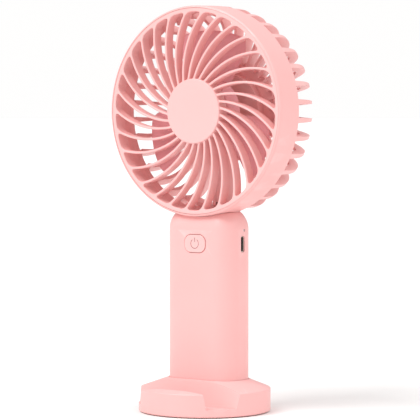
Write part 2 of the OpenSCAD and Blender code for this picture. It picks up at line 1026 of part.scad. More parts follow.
// Point of the blade: u runs from its front edge to its back edge, v from hub to tip, side is -1 or 1
function blade_point(u, v, side) =
    let (r = hub_r - 0.6 + v * (blade_tip_r - hub_r + 0.6),
        s = tip_draw(v) + u * (1 - 2 * tip_draw(v)),
        a = blade_sweep * (s - 0.5),
        f = blade_front + s * (blade_back - blade_front),
        thin = blade_t / 2 * (u == 0 || u == 1 ? 0.45 : 1))
    [each cw(r, a), f + side * thin];

// One blade, a part of a helix with a round-cornered tip
module blade() {
    us = 10;
    vs = [0, 0.25, 0.5, 0.7, 0.8, 0.88, 0.94, 0.98, 1];
    rows = len(vs);
    sheet = (us + 1) * rows;
    points = [for (side = [1, -1], i = [0 : us], v = vs) blade_point(i / us, v, side)];
    function at(side, i, j) = side * sheet + i * rows + j;
    faces = concat(
        [for (i = [0 : us - 1], j = [0 : rows - 2])
            [at(0, i, j), at(0, i, j + 1), at(0, i + 1, j + 1), at(0, i + 1, j)]],
        [for (i = [0 : us - 1], j = [0 : rows - 2])
            [at(1, i, j), at(1, i + 1, j), at(1, i + 1, j + 1), at(1, i, j + 1)]],
        [for (i = [0 : us - 1]) [at(0, i, 0), at(0, i + 1, 0), at(1, i + 1, 0), at(1, i, 0)]],
        [for (i = [0 : us - 1])
            [at(0, i + 1, rows - 1), at(0, i, rows - 1), at(1, i, rows - 1), at(1, i + 1, rows - 1)]],
        [for (j = [0 : rows - 2]) [at(0, 0, j + 1), at(0, 0, j), at(1, 0, j), at(1, 0, j + 1)]],
        [for (j = [0 : rows - 2]) [at(0, us, j), at(0, us, j + 1), at(1, us, j + 1), at(1, us, j)]]);
    polyhedron(points, faces);
}

module impeller() {
    color(pink_deep)
        on_head()
            union() {
                difference() {
                    post(hub_r, hub_back, hub_front);
                    post(cup_r, hub_back - 1, cup_front);
                }
                difference() {
                    post(boss_r, boss_back, cup_front + eps);
                    post(shaft_r, boss_back - 1, cup_front);
                }
                for (i = [0 : blade_count - 1])
                    rotate([0, 0, -blade_phase - i * 360 / blade_count])
                        blade();
            }
}

module rotor_cup() {
    color("silver")
        on_head()
            difference() {
                post(cup_r, cup_back, cup_front);
                post(cup_r - cup_t, cup_back - 1, cup_front - cup_t);
                post(boss_r, cup_back, cup_front + 1);
            }
}

module ring_magnet() {
    color("dimgray")
        on_head()
            pipe(cup_r - cup_t, magnet_in_r, magnet_back, magnet_front);
}

module rotor_shaft() {
    color("lightsteelblue")
        on_head()
            post(shaft_r, shaft_back, cup_front);
}

module shaft_clip() {
    color("gray")
        on_head()
            pipe(2, shaft_r, clip_front - clip_t, clip_front);
}

base_shell();
base_plate();
base_screws();
base_pads();
handle_shell();
handle_bottom_cap();
cap_screws();
inner_frame();
battery_cell();
battery_sleeve();
battery_tabs();
battery_leads();
circuit_board();
board_chips();
charge_led();
light_pipe();
usb_inlet();
usb_tongue();
switch_body();
switch_plunger();
power_button();
power_icon();
head_shell();
neck_screws();
front_grille();
rear_grille();
lead_cover();
bearing_tube();
bushings();
stator_core();
stator_coils();
motor_board();
motor_leads();
impeller();
rotor_cup();
ring_magnet();
rotor_shaft();
shaft_clip();
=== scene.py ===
"""Looks of the handheld fan in its phone stand: mouldings, procedural materials, light and camera.

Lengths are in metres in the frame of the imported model: +Z is up, and the fan blows towards -Y.
"""

import json
import math

import bmesh
import bpy
from mathutils import Matrix, Vector


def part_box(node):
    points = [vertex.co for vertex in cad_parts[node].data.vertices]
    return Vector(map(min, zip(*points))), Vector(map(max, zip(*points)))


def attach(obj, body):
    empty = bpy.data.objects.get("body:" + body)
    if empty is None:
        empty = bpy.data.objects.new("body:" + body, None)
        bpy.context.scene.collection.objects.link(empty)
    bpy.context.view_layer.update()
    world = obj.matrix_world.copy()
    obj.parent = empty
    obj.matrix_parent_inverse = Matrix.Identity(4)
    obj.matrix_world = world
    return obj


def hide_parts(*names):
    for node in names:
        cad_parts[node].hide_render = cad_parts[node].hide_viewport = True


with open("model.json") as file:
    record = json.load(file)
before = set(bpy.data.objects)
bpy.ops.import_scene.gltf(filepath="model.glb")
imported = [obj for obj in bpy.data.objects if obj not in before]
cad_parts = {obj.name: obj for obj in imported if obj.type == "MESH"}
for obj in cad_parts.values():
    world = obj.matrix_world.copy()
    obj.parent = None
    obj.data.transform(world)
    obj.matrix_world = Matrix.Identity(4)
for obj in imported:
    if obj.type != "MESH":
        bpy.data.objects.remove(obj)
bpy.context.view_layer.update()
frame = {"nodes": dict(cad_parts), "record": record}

MM = 0.001
NODES = frame["nodes"]
BODY_OF = {n: b for b, names in frame["record"]["behaviour"]["bodies"].items() for n in names}
SLOT_OF = {s["node"]: s["material_slot"] for s in frame["record"]["subparts"]}

# ---- Camera ----

CAMERA_PLACE = Vector((0.6706, -0.9098, 0.1434))
CAMERA_AIM = Vector((0.0004, 0.0038, 0.0961))
FOCAL_LENGTH = 203


def aimed(place, aim):
    """Matrix of something at place that looks at aim."""
    return Matrix.Translation(place) @ (aim - place).to_track_quat("-Z", "Y").to_matrix().to_4x4()


def add_camera():
    data = bpy.data.cameras.new("camera")
    data.lens = FOCAL_LENGTH
    data.sensor_width = 36
    data.clip_start = 0.05
    camera = bpy.data.objects.new("camera", data)
    camera.matrix_world = aimed(CAMERA_PLACE, CAMERA_AIM)
    bpy.context.scene.collection.objects.link(camera)
    bpy.context.scene.camera = camera


add_camera()

# ---- Materials ----


class Nodes:
    """A material's node tree, built a node at a time."""

    def __init__(self, name):
        self.material = bpy.data.materials.new(name)
        self.material.use_nodes = True
        self.tree = self.material.node_tree
        self.shader = self.tree.nodes["Principled BSDF"]
        self.place = self.add("ShaderNodeTexCoord").outputs["Object"]

    def add(self, kind, **values):
        node = self.tree.nodes.new(kind)
        for name, value in values.items():
            setattr(node, name, value)
        return node

    def join(self, a, b):
        self.tree.links.new(a, b)

    def noise(self, scale, detail=2.0, rough=0.5, stretch=None):
        """Noise between 0 and 1 with features about 1 / scale metres across."""
        node = self.add("ShaderNodeTexNoise")
        node.inputs["Scale"].default_value = scale
        node.inputs["Detail"].default_value = detail
        node.inputs["Roughness"].default_value = rough
        place = self.place
        if stretch:
            mapping = self.add("ShaderNodeMapping")
            mapping.inputs["Scale"].default_value = stretch
            self.join(place, mapping.inputs["Vector"])
            place = mapping.outputs["Vector"]
        self.join(place, node.inputs["Vector"])
        return node.outputs["Fac"]

    def wave(self, pitch, axis, distort=0.0):
        """Bands one pitch apart along an axis."""
        node = self.add("ShaderNodeTexWave", wave_type="BANDS", bands_direction=axis, wave_profile="SIN")
        node.inputs["Scale"].default_value = 1 / (pitch * 3.18)
        node.inputs["Distortion"].default_value = distort
        self.join(self.place, node.inputs["Vector"])
        return node.outputs["Fac"]

    def spread(self, value, low, high, start=0.3, end=0.7):
        """The value's range start..end mapped to low..high."""
        node = self.add("ShaderNodeMapRange")
        for name, number in (("From Min", start), ("From Max", end), ("To Min", low), ("To Max", high)):
            node.inputs[name].default_value = number
        self.join(value, node.inputs["Value"])
        return node.outputs["Result"]

    def mix(self, share, a, b):
        """Colour a where share is 0 and b where it is 1."""
        node = self.add("ShaderNodeMix", data_type="RGBA")
        self.join(share, node.inputs[0])
        for socket, colour in ((node.inputs[6], a), (node.inputs[7], b)):
            if isinstance(colour, tuple):
                socket.default_value = (*colour, 1)
            else:
                self.join(colour, socket)
        return node.outputs[2]

    def bump(self, height, depth, normal=None):
        node = self.add("ShaderNodeBump")
        node.inputs["Strength"].default_value = 1
        node.inputs["Distance"].default_value = depth
        self.join(height, node.inputs["Height"])
        if normal:
            self.join(normal, node.inputs["Normal"])
        return node.outputs["Normal"]


def tinted(colour, factor):
    return tuple(min(1.0, c * factor) for c in colour)


def finish_material(slot, colour, rough, metal=0.0, grain=(5000, 0.01), mottle=0.03, wear=0.25,
                    rough_spread=0.06, coat=0.0, lines=None, clear=0.0):
    """Colour mottled by noise and lighter along worn edges, with uneven roughness and a fine grain.

    grain is (features in a metre, depth in mm), and lines is (pitch in metres, axis, depth in mm).
    """
    nodes = Nodes(slot)
    shader = nodes.shader
    shader.inputs["Metallic"].default_value = metal
    shader.inputs["Coat Weight"].default_value = coat
    shader.inputs["Transmission Weight"].default_value = clear
    clouds = nodes.spread(nodes.noise(45, 3), 0, 1)
    mottled = nodes.mix(clouds, tinted(colour, 1 - mottle), tinted(colour, 1 + mottle))
    dots = nodes.spread(nodes.noise(900, 2), 0, 0.5, 0.55, 0.8)
    specks = nodes.mix(dots, mottled, tinted(colour, 1 - 2 * mottle))
    edge = nodes.add("ShaderNodeNewGeometry").outputs["Pointiness"]
    scuffs = nodes.add("ShaderNodeMath", operation="MULTIPLY")
    nodes.join(nodes.spread(edge, 0, wear, 0.52, 0.62), scuffs.inputs[0])
    nodes.join(nodes.spread(nodes.noise(160, 4), 0, 1, 0.35, 0.65), scuffs.inputs[1])
    worn = nodes.mix(scuffs.outputs[0], specks, tuple(0.5 + 0.5 * c for c in colour))
    nodes.join(worn, shader.inputs["Base Color"])
    smear = nodes.spread(nodes.noise(110, 5, 0.6), rough - rough_spread, rough + rough_spread)
    nodes.join(smear, shader.inputs["Roughness"])
    normal = nodes.bump(nodes.noise(grain[0], 2), grain[1] * MM)
    if lines:
        normal = nodes.bump(nodes.wave(lines[0], lines[1]), lines[2] * MM, normal)
    nodes.join(normal, shader.inputs["Normal"])
    return nodes.material


FINISHES = {
    "pink_shell": dict(colour=(0.90, 0.47, 0.455), rough=0.42, grain=(4200, 0.012), mottle=0.02, coat=0.06),
    "pink_light": dict(colour=(0.91, 0.50, 0.485), rough=0.38, grain=(4200, 0.01), mottle=0.02, coat=0.08),
    "pink_rotor": dict(colour=(0.80, 0.36, 0.385), rough=0.36, grain=(4200, 0.01), mottle=0.03, coat=0.1),
    "mark_mauve": dict(colour=(0.34, 0.15, 0.15), rough=0.5, grain=(7000, 0.01), mottle=0.06, wear=0.1),
    "white_plastic": dict(colour=(0.80, 0.79, 0.77), rough=0.5, grain=(3600, 0.012)),
    "black_plastic": dict(colour=(0.022, 0.021, 0.022), rough=0.45, grain=(4200, 0.01), wear=0.1),
    "clear_plastic": dict(colour=(0.92, 0.84, 0.83), rough=0.2, grain=(3000, 0.005), clear=0.6),
    "pad_rubber": dict(colour=(0.62, 0.60, 0.59), rough=0.75, grain=(2600, 0.02), mottle=0.05, wear=0.1),
    "lead_jacket": dict(colour=(0.42, 0.05, 0.045), rough=0.45, grain=(5200, 0.008)),
    "board_green": dict(colour=(0.03, 0.17, 0.07), rough=0.32, grain=(3400, 0.006), mottle=0.12,
                        lines=(1.3 * MM, "X", 0.015), coat=0.2),
    "cell_sleeve": dict(colour=(0.05, 0.16, 0.30), rough=0.3, grain=(2000, 0.01), coat=0.2),
    "cell_steel": dict(colour=(0.60, 0.60, 0.58), rough=0.28, metal=1.0, grain=(9000, 0.003)),
    "screw_steel": dict(colour=(0.52, 0.53, 0.54), rough=0.3, metal=1.0, grain=(8000, 0.004), mottle=0.06),
    "shaft_steel": dict(colour=(0.64, 0.65, 0.66), rough=0.2, metal=1.0, grain=(9000, 0.002),
                        lines=(0.12 * MM, "Y", 0.002)),
    "stator_steel": dict(colour=(0.36, 0.37, 0.39), rough=0.38, metal=1.0, grain=(7000, 0.004),
                         lines=(0.35 * MM, "Y", 0.04)),
    "nickel": dict(colour=(0.66, 0.64, 0.58), rough=0.26, metal=1.0, grain=(9000, 0.002)),
    "magnet_dark": dict(colour=(0.09, 0.09, 0.095), rough=0.5, metal=0.4, grain=(6000, 0.01), mottle=0.1),
    "coil_copper": dict(colour=(0.62, 0.24, 0.09), rough=0.3, metal=1.0, grain=(6000, 0.004),
                        lines=(0.3 * MM, "Y", 0.06), coat=0.3),
    "tube_brass": dict(colour=(0.72, 0.50, 0.21), rough=0.28, metal=1.0, grain=(8000, 0.003),
                       lines=(0.15 * MM, "Y", 0.004)),
    "bush_bronze": dict(colour=(0.48, 0.29, 0.16), rough=0.45, metal=1.0, grain=(5200, 0.02), mottle=0.12),
}
MATERIALS = {slot: finish_material(slot, **finish) for slot, finish in FINISHES.items()}

# ---- Mesh tools ----


def mesh_piece(name, points, faces):
    mesh = bpy.data.meshes.new(name)
    mesh.from_pydata([tuple(p) for p in points], [], faces)
    piece = bpy.data.objects.new(name, mesh)
    bpy.context.scene.collection.objects.link(piece)
    return piece


def edited(piece, change):
    """Runs change on a bmesh of the piece's mesh and puts the result back."""
    bm = bmesh.new()
    bm.from_mesh(piece.data)
    change(bm)
    bm.to_mesh(piece.data)
    bm.free()
    return piece


def outward(bm):
    bmesh.ops.recalc_face_normals(bm, faces=bm.faces)


def applied(piece):
    """Replaces the piece's mesh with what its modifiers make of it."""
    graph = bpy.context.evaluated_depsgraph_get()
    mesh = bpy.data.meshes.new_from_object(piece.evaluated_get(graph), depsgraph=graph)
    piece.modifiers.clear()
    piece.data = mesh
    return piece


def combined(piece, other, operation):
    """The piece with other added, as UNION, or taken away, as DIFFERENCE."""
    modifier = piece.modifiers.new("shape", "BOOLEAN")
    modifier.operation = operation
    modifier.solver = "EXACT"
    modifier.object = other
    bpy.context.view_layer.update()
    applied(piece)
    bpy.data.objects.remove(other)
    return piece


def smoothed(piece, angle=32):
    """Smooth shading that keeps edges sharper than the angle, with flat faces left flat."""
    piece.data.shade_smooth()
    piece.data.set_sharp_from_angle(angle=math.radians(angle))
    modifier = piece.modifiers.new("normals", "WEIGHTED_NORMAL")
    modifier.keep_sharp = True
    modifier.weight = 90
    bpy.context.view_layer.update()
    return applied(piece)


def finished(piece, node, angle=32):
    """Smooths the piece, gives it its node's body and material, and hides the node."""
    smoothed(piece, angle)
    piece.data.materials.clear()
    piece.data.materials.append(MATERIALS[SLOT_OF[node]])
    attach(piece, BODY_OF[node])
    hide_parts(node)
    return piece


def lathe(name, profile, steps=128):
    """Closed solid turned about Z from (radius, height) points; a point with no radius is on the axis."""
    points, rings = [], []
    for radius, height in profile:
        count = 1 if radius < 1e-9 else steps
        rings.append(range(len(points), len(points) + count))
        for k in range(count):
            turn = math.tau * k / steps
            points.append((radius * math.cos(turn), radius * math.sin(turn), height))
    faces = []
    for low, high in zip(rings, rings[1:] + rings[:1]):
        if len(low) == 1 and len(high) == 1:
            continue
        for k in range(steps):
            corners = [low[k % len(low)], low[(k + 1) % len(low)]]
            corners += [high[(k + 1) % len(high)], high[k % len(high)]]
            faces.append(list(dict.fromkeys(corners)))
    return edited(mesh_piece(name, points, faces), outward)


def fillet(corner_r, centre, start, end, steps=6):
    """Points of an arc about centre from start to end, in degrees from the first axis."""
    turns = [math.radians(start + (end - start) * k / steps) for k in range(steps + 1)]
    return [(centre[0] + corner_r * math.cos(t), centre[1] + corner_r * math.sin(t)) for t in turns]


def rounded_rect(width, depth, radius, steps=12):
    """Corner-rounded rectangle's outline about the origin."""
    outline = []
    for sx, sy, start in ((1, 1, 0), (-1, 1, 90), (-1, -1, 180), (1, -1, 270)):
        centre = (sx * (width / 2 - radius), sy * (depth / 2 - radius))
        outline += fillet(radius, centre, start, start + 90, steps)
    return outline


def loft(name, sections):
    """Closed solid through (outline, height) sections that all have the same number of points."""
    size = len(sections[0][0])
    points = [(x, y, height) for outline, height in sections for x, y in outline]
    faces = [
        (i * size + k, i * size + (k + 1) % size, (i + 1) * size + (k + 1) % size, (i + 1) * size + k)
        for i in range(len(sections) - 1)
        for k in range(size)
    ]
    faces.append(tuple(range(size)))
    faces.append(tuple(range((len(sections) - 1) * size, len(sections) * size)))
    return edited(mesh_piece(name, points, faces), outward)


def joined(pieces):
    """One piece made of separate closed solids."""
    points, faces = [], []
    for piece in pieces:
        base = len(points)
        points += [v.co.copy() for v in piece.data.vertices]
        faces += [[base + i for i in f.vertices] for f in piece.data.polygons]
        bpy.data.objects.remove(piece)
    return mesh_piece("joined", points, faces)


def moved(piece, matrix):
    piece.data.transform(matrix)
    return piece


def softened(node, width, segments=2, angle=28):
    """The CAD node's own shape with its sharp edges rounded, as a moulded or deburred part has them."""
    piece = bpy.data.objects.new(node + "_rounded", NODES[node].data.copy())
    bpy.context.scene.collection.objects.link(piece)

    def round_edges(bm):
        bmesh.ops.remove_doubles(bm, verts=bm.verts, dist=2e-6)
        bmesh.ops.dissolve_limit(bm, angle_limit=math.radians(0.4), verts=bm.verts, edges=bm.edges)
        closed = [e for e in bm.edges if len(e.link_faces) == 2]
        sharp = [e for e in closed if e.calc_face_angle(0) > math.radians(angle)]
        bmesh.ops.bevel(bm, geom=sharp, offset=width, offset_type="OFFSET", segments=segments, profile=0.5,
                        affect="EDGES", clamp_overlap=True)

    edited(piece, round_edges)
    return finished(piece, node, angle=40)


# ---- Head ----

GRILLE_LOW, GRILLE_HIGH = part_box("front_grille")
AXIS_Z = (GRILLE_LOW.z + GRILLE_HIGH.z) / 2
DISC_FRONT = -GRILLE_LOW.y
GRILLE_R = (GRILLE_HIGH.x - GRILLE_LOW.x) / 2
HEAD = Matrix.Translation((0, 0, AXIS_Z)) @ Matrix.Rotation(math.pi / 2, 4, "X")

FIN_COUNT = 30
FIN_T = 1.15 * MM
FIN_SWEEP = 31
FIN_FRONT = DISC_FRONT - 0.7 * MM
FIN_BACK = 3.6 * MM
FIN_EDGE_R = 0.42 * MM
DISC_R = 15.4 * MM
DISC_T = 1.6 * MM
SKIRT_T = 1.2 * MM
RING_BACK = 2.1 * MM
DUCT_R = 48 * MM
SLOT_END_R = DUCT_R - 0.9 * MM


def clockwise(radius, degrees):
    """Point at an angle clockwise from the top, as seen from the front."""
    turn = math.radians(degrees)
    return Vector((radius * math.sin(turn), radius * math.cos(turn)))


def circle_through(a, b, c):
    """Centre and radius of the circle through three points."""
    d = 2 * (a.x * (b.y - c.y) + b.x * (c.y - a.y) + c.x * (a.y - b.y))
    x = (a.dot(a) * (b.y - c.y) + b.dot(b) * (c.y - a.y) + c.dot(c) * (a.y - b.y)) / d
    y = (a.dot(a) * (c.x - b.x) + b.dot(b) * (a.x - c.x) + c.dot(c) * (b.x - a.x)) / d
    middle = Vector((x, y))
    return middle, (a - middle).length


def fin_angles(radius):
    """Clockwise angles of a fin's two sides at a radius, in degrees."""
    middle, bend = circle_through(
        clockwise(DISC_R - 0.8 * MM, -0.5),
        clockwise((DISC_R + DUCT_R) / 2, FIN_SWEEP * 0.54),
        clockwise(DUCT_R + 0.4 * MM, FIN_SWEEP + 0.5),
    )
    away = middle.length
    heading = math.degrees(math.atan2(middle.x, middle.y))
    sides = []
    for side in (-FIN_T / 2, FIN_T / 2):
        opening = math.acos((radius**2 + away**2 - (bend + side) ** 2) / (2 * radius * away))
        sides.append(heading - math.degrees(opening))
    return min(sides), max(sides)


def cut_corners(outline, corners, steps=5):
    """A closed outline whose listed corners, point: distance, are rounded."""
    result, count = [], len(outline)
    for i, p in enumerate(outline):
        near = [(c, d) for c, d in corners if (p - c).length < d]
        if not near:
            result.append(p)
            continue
        corner, reach = near[0]
        if (p - corner).length > 1e-9:
            continue
        start, end = i, i
        while (outline[start % count] - corner).length < reach:
            start -= 1
        while (outline[end % count] - corner).length < reach:
            end += 1
        a = corner + (outline[start % count] - corner).normalized() * reach
        b = corner + (outline[end % count] - corner).normalized() * reach
        for k in range(steps + 1):
            t = k / steps
            result.append(a * (1 - t) ** 2 + corner * (2 * t * (1 - t)) + b * t**2)
    return result


def slot_outline(turn):
    """Opening between two neighbouring fins, with round corners."""
    inner_r, outer_r, steps = DISC_R + 0.02 * MM, SLOT_END_R, 40
    pitch = 360 / FIN_COUNT
    radii = [inner_r + (outer_r - inner_r) * k / steps for k in range(steps + 1)]
    near = [clockwise(r, turn + fin_angles(r)[1]) for r in radii]
    far = [clockwise(r, turn + pitch + fin_angles(r)[0]) for r in reversed(radii)]
    a0, a1 = fin_angles(outer_r)[1], pitch + fin_angles(outer_r)[0]
    b0, b1 = pitch + fin_angles(inner_r)[0], fin_angles(inner_r)[1]
    outer = [clockwise(outer_r, turn + a0 + (a1 - a0) * k / 12) for k in range(1, 12)]
    inner = [clockwise(inner_r, turn + b0 + (b1 - b0) * k / 6) for k in range(1, 6)]
    wide, tight = 2.4 * MM, 0.5 * MM
    corners = [(near[-1], wide), (far[0], wide), (near[0], tight), (far[-1], tight)]
    return cut_corners(near + outer + far + inner, corners)


def grown(outline, distance):
    """The outline moved outward by the distance, less so close to the grille's disc."""
    result, count = [], len(outline)
    area = sum(a.x * b.y - b.x * a.y for a, b in zip(outline, outline[1:] + outline[:1]))
    for i, p in enumerate(outline):
        along = (outline[(i + 1) % count] - outline[i - 1]).normalized()
        away = Vector((along.y, -along.x)) * (1 if area > 0 else -1)
        share = min(1.0, max(0.0, (p.length - DISC_R - 0.1 * MM) / (1.2 * MM)))
        result.append(p + away * distance * share)
    return result


def inside_ring(outline):
    """The outline kept within the grille's ring, which is deeper than the fins."""
    return [p * min(1.0, SLOT_END_R / p.length) for p in outline]


def slot_cutter(turn):
    """Cutter for one slot, wider at both faces of the plate, so that the fins' edges are round."""
    outline = slot_outline(turn)
    sections = [(inside_ring(grown(outline, FIN_EDGE_R)), FIN_BACK - MM)]
    for k in range(5):
        lean = math.radians(90 * k / 4)
        wider = grown(outline, FIN_EDGE_R * (1 - math.sin(lean)))
        sections.append((inside_ring(wider), FIN_BACK + FIN_EDGE_R * (1 - math.cos(lean))))
    for k in range(5):
        lean = math.radians(90 * (4 - k) / 4)
        wider = grown(outline, FIN_EDGE_R * (1 - math.sin(lean)))
        sections.append((wider, FIN_FRONT - FIN_EDGE_R * (1 - math.cos(lean))))
    sections.append((grown(outline, FIN_EDGE_R), FIN_FRONT + 0.3 * MM))
    return loft("slot", [([(p.x, p.y) for p in points], height) for points, height in sections])


def front_grille():
    edge_r, rim_edge_r = 0.55 * MM, 0.35 * MM
    crown = [(DISC_R * k / 12, DISC_FRONT - 0.08 * MM * (k / 12) ** 2) for k in range(12)]
    crown += fillet(edge_r, (DISC_R - edge_r, DISC_FRONT - edge_r - 0.08 * MM), 80, 0)
    crown += [(DISC_R, FIN_FRONT)]
    crown += [(DISC_R + (DUCT_R - DISC_R) * k / 8, FIN_FRONT) for k in range(1, 9)]
    crown += fillet(rim_edge_r, (GRILLE_R - rim_edge_r, FIN_FRONT - rim_edge_r), 90, 0)
    crown += [(GRILLE_R, RING_BACK), (SLOT_END_R, RING_BACK), (SLOT_END_R - 0.1 * MM, FIN_BACK)]
    crown += [(DISC_R, FIN_BACK), (DISC_R - SKIRT_T, FIN_BACK), (DISC_R - SKIRT_T, DISC_FRONT - DISC_T)]
    crown += [(0, DISC_FRONT - DISC_T)]
    grille = lathe("front_grille_moulded", crown, 240)
    cutters = [slot_cutter(k * 360 / FIN_COUNT) for k in range(FIN_COUNT)]
    combined(grille, joined(cutters), "DIFFERENCE")
    moved(grille, HEAD)
    return finished(grille, "front_grille", angle=40)


# ---- Impeller ----

HUB_R = 14.9 * MM
HUB_FRONT = 1.9 * MM
HUB_BACK = -8.4 * MM
HUB_WALL = 1.25 * MM
HUB_INSIDE = HUB_FRONT - 1.4 * MM
BOSS_R = 2.2 * MM
BOSS_BACK = -1.2 * MM
SHAFT_R = 1.0 * MM
BLADE_COUNT = 3
BLADE_TIP_R = 38.5 * MM
BLADE_SWEEP = 56
BLADE_PHASE = 2.5
BLADE_FRONT = 1.3 * MM
BLADE_BACK = -10.3 * MM
BLADE_T = 1.5 * MM


def blade(phase):
    """One blade: a part of a helix that thins to round edges, with round tip corners."""
    across = 36
    shares = [k / 14 for k in range(10)]
    shares += [0.7 + 0.3 * math.sin(math.radians(90 * k / 9)) for k in range(1, 10)]
    along = len(shares) - 1
    points, faces = [], []
    for side in (1, -1):
        for i in range(across + 1):
            u = i / across
            for v in shares:
                radius = HUB_R - 0.6 * MM + v * (BLADE_TIP_R - HUB_R + 0.6 * MM)
                corner = max(0.0, (v - 0.7) / 0.3)
                draw = 0.16 * (1 - math.sqrt(max(0.0, 1 - corner**2)))
                s = draw + u * (1 - 2 * draw)
                edge = min(1.0, 8 * u, 8 * (1 - u))
                tip = min(1.0, 10 * (1 - v))
                rounding = math.sqrt(1 - (1 - edge) ** 2) * math.sqrt(1 - (1 - tip) ** 2)
                half = BLADE_T / 2 * max(0.08, rounding)
                spot = clockwise(radius, phase + BLADE_SWEEP * (s - 0.5))
                points.append((spot.x, spot.y, BLADE_FRONT + s * (BLADE_BACK - BLADE_FRONT) + side * half))
    size = (across + 1) * (along + 1)
    for side in (0, 1):
        for i in range(across):
            for j in range(along):
                a = side * size + i * (along + 1) + j
                faces.append((a, a + 1, a + along + 2, a + along + 1))
    border = [(i * (along + 1), (i + 1) * (along + 1)) for i in range(across)]
    border += [(i * (along + 1) + along, (i + 1) * (along + 1) + along) for i in range(across)]
    border += [(j, j + 1) for j in range(along)]
    border += [(across * (along + 1) + j, across * (along + 1) + j + 1) for j in range(along)]
    faces += [(a, b, b + size, a + size) for a, b in border]
    return edited(mesh_piece("blade", points, faces), outward)


def impeller():
    round_r = 1.6 * MM
    hub = [(0, HUB_FRONT), (HUB_R - round_r, HUB_FRONT)]
    hub += fillet(round_r, (HUB_R - round_r, HUB_FRONT - round_r), 90, 0)[1:]
    hub += [(HUB_R, HUB_BACK + 0.3 * MM), (HUB_R - 0.3 * MM, HUB_BACK), (HUB_R - HUB_WALL, HUB_BACK)]
    hub += [(HUB_R - HUB_WALL, HUB_INSIDE), (BOSS_R, HUB_INSIDE), (BOSS_R, BOSS_BACK)]
    hub += [(SHAFT_R, BOSS_BACK), (SHAFT_R, HUB_INSIDE), (0, HUB_INSIDE)]
    wheel = lathe("impeller_moulded", hub)
    for k in range(BLADE_COUNT):
        combined(wheel, blade(BLADE_PHASE + k * 360 / BLADE_COUNT), "UNION")
    moved(wheel, HEAD)
    return finished(wheel, "impeller", angle=40)


# ---- Handle ----

HANDLE_LOW, HANDLE_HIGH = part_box("handle_shell")
HANDLE_Y = (HANDLE_LOW.y + HANDLE_HIGH.y) / 2
HANDLE_W = HANDLE_HIGH.x - HANDLE_LOW.x
HANDLE_D = HANDLE_HIGH.y - HANDLE_LOW.y
HANDLE_CORNER_R = 9 * MM
HANDLE_WALL = 1.8 * MM
SHOULDER_H = 8.5 * MM
SHOULDER_R = 12.6 * MM


def handle_section(inset, height):
    """The handle's outline at a height, smaller by inset all round."""
    corner_r = HANDLE_CORNER_R - 0.55 * inset
    outline = rounded_rect(HANDLE_W - 2 * inset, HANDLE_D - 2 * inset, corner_r)
    return [(x, y + HANDLE_Y) for x, y in outline], height


def window(width, height, radius, depth, flare):
    """Cutter for an opening in a wall, whose outside is at z = 0 and eased by flare."""
    sections = [(rounded_rect(width, height, radius), place) for place in (-depth, -flare)]
    for k in (1, 2):
        outline = rounded_rect(width + 2 * k * flare, height + 2 * k * flare, radius + k * flare)
        sections.append((outline, (k - 1) * flare))
    return loft("window", sections)


def opened(shell, place, width, height, radius, flare):
    """The handle's shell with a window at a place."""
    return combined(shell, moved(window(width, height, radius, 3 * MM, flare), place), "DIFFERENCE")


def handle_shell():
    low, high = HANDLE_LOW.z, HANDLE_HIGH.z
    bend_z = high - SHOULDER_H
    edge = 0.5 * MM
    sections = [handle_section(edge, low), handle_section(0.15 * MM, low + 0.15 * MM)]
    sections.append(handle_section(0, low + edge))
    sections += [handle_section(0, low + (bend_z - low) * k / 6) for k in range(1, 7)]
    for k in range(1, 13):
        rise = (SHOULDER_H - 0.6 * MM) * k / 12
        inset = SHOULDER_R - math.sqrt(SHOULDER_R**2 - rise**2)
        sections.append(handle_section(inset, bend_z + rise))
    sections.append(handle_section(3.15 * MM, high - 0.28 * MM))
    sections.append(handle_section(3.6 * MM, high - 0.07 * MM))
    sections.append(handle_section(4.3 * MM, high))
    shell = loft("handle_shell_moulded", sections)

    width, depth = HANDLE_W - 2 * HANDLE_WALL, HANDLE_D - 2 * HANDLE_WALL
    inner = rounded_rect(width, depth, HANDLE_CORNER_R - HANDLE_WALL)
    inner = [(x, y + HANDLE_Y) for x, y in inner]
    combined(shell, loft("inside", [(inner, low - MM), (inner, high - 5 * MM)]), "DIFFERENCE")

    # Hollow of the head's round shell and of the rear guard's ring, a little larger than both
    scoop = [(0, -6.6 * MM), (49.3 * MM, -6.6 * MM), (49.3 * MM, -6.1 * MM), (50.42 * MM, -6.1 * MM)]
    scoop += [(50.12 * MM, 9 * MM), (0, 9 * MM)]
    combined(shell, moved(lathe("scoop", scoop, 256), HEAD), "DIFFERENCE")
    spigot = [(x, y + 5.5 * MM) for x, y in rounded_rect(14.1 * MM, 13.1 * MM, 2 * MM)]
    combined(shell, loft("spigot", [(spigot, high - 6 * MM), (spigot, high + MM)]), "DIFFERENCE")

    upright_turn = Matrix.Rotation(math.pi / 2, 4, "X")
    at_front = Matrix.Translation((0, HANDLE_LOW.y, BUTTON_Z)) @ upright_turn
    opened(shell, at_front, 12.6 * MM, 8.8 * MM, 3.9 * MM, 0.22 * MM)
    facing_side = Matrix.Rotation(math.pi / 2, 4, "Z") @ upright_turn
    side_windows = (("usb_inlet", 3.0, 7.7, 1.0, 0.2), ("light_pipe", 1.3, 1.3, 0.649, 0.12))
    for node, width, height, radius, flare in side_windows:
        node_low, node_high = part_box(node)
        middle = (node_low + node_high) / 2
        place = Matrix.Translation((HANDLE_HIGH.x, middle.y, middle.z)) @ facing_side
        opened(shell, place, width * MM, height * MM, radius * MM, flare * MM)
    return finished(shell, "handle_shell", angle=30)


# ---- Power button ----

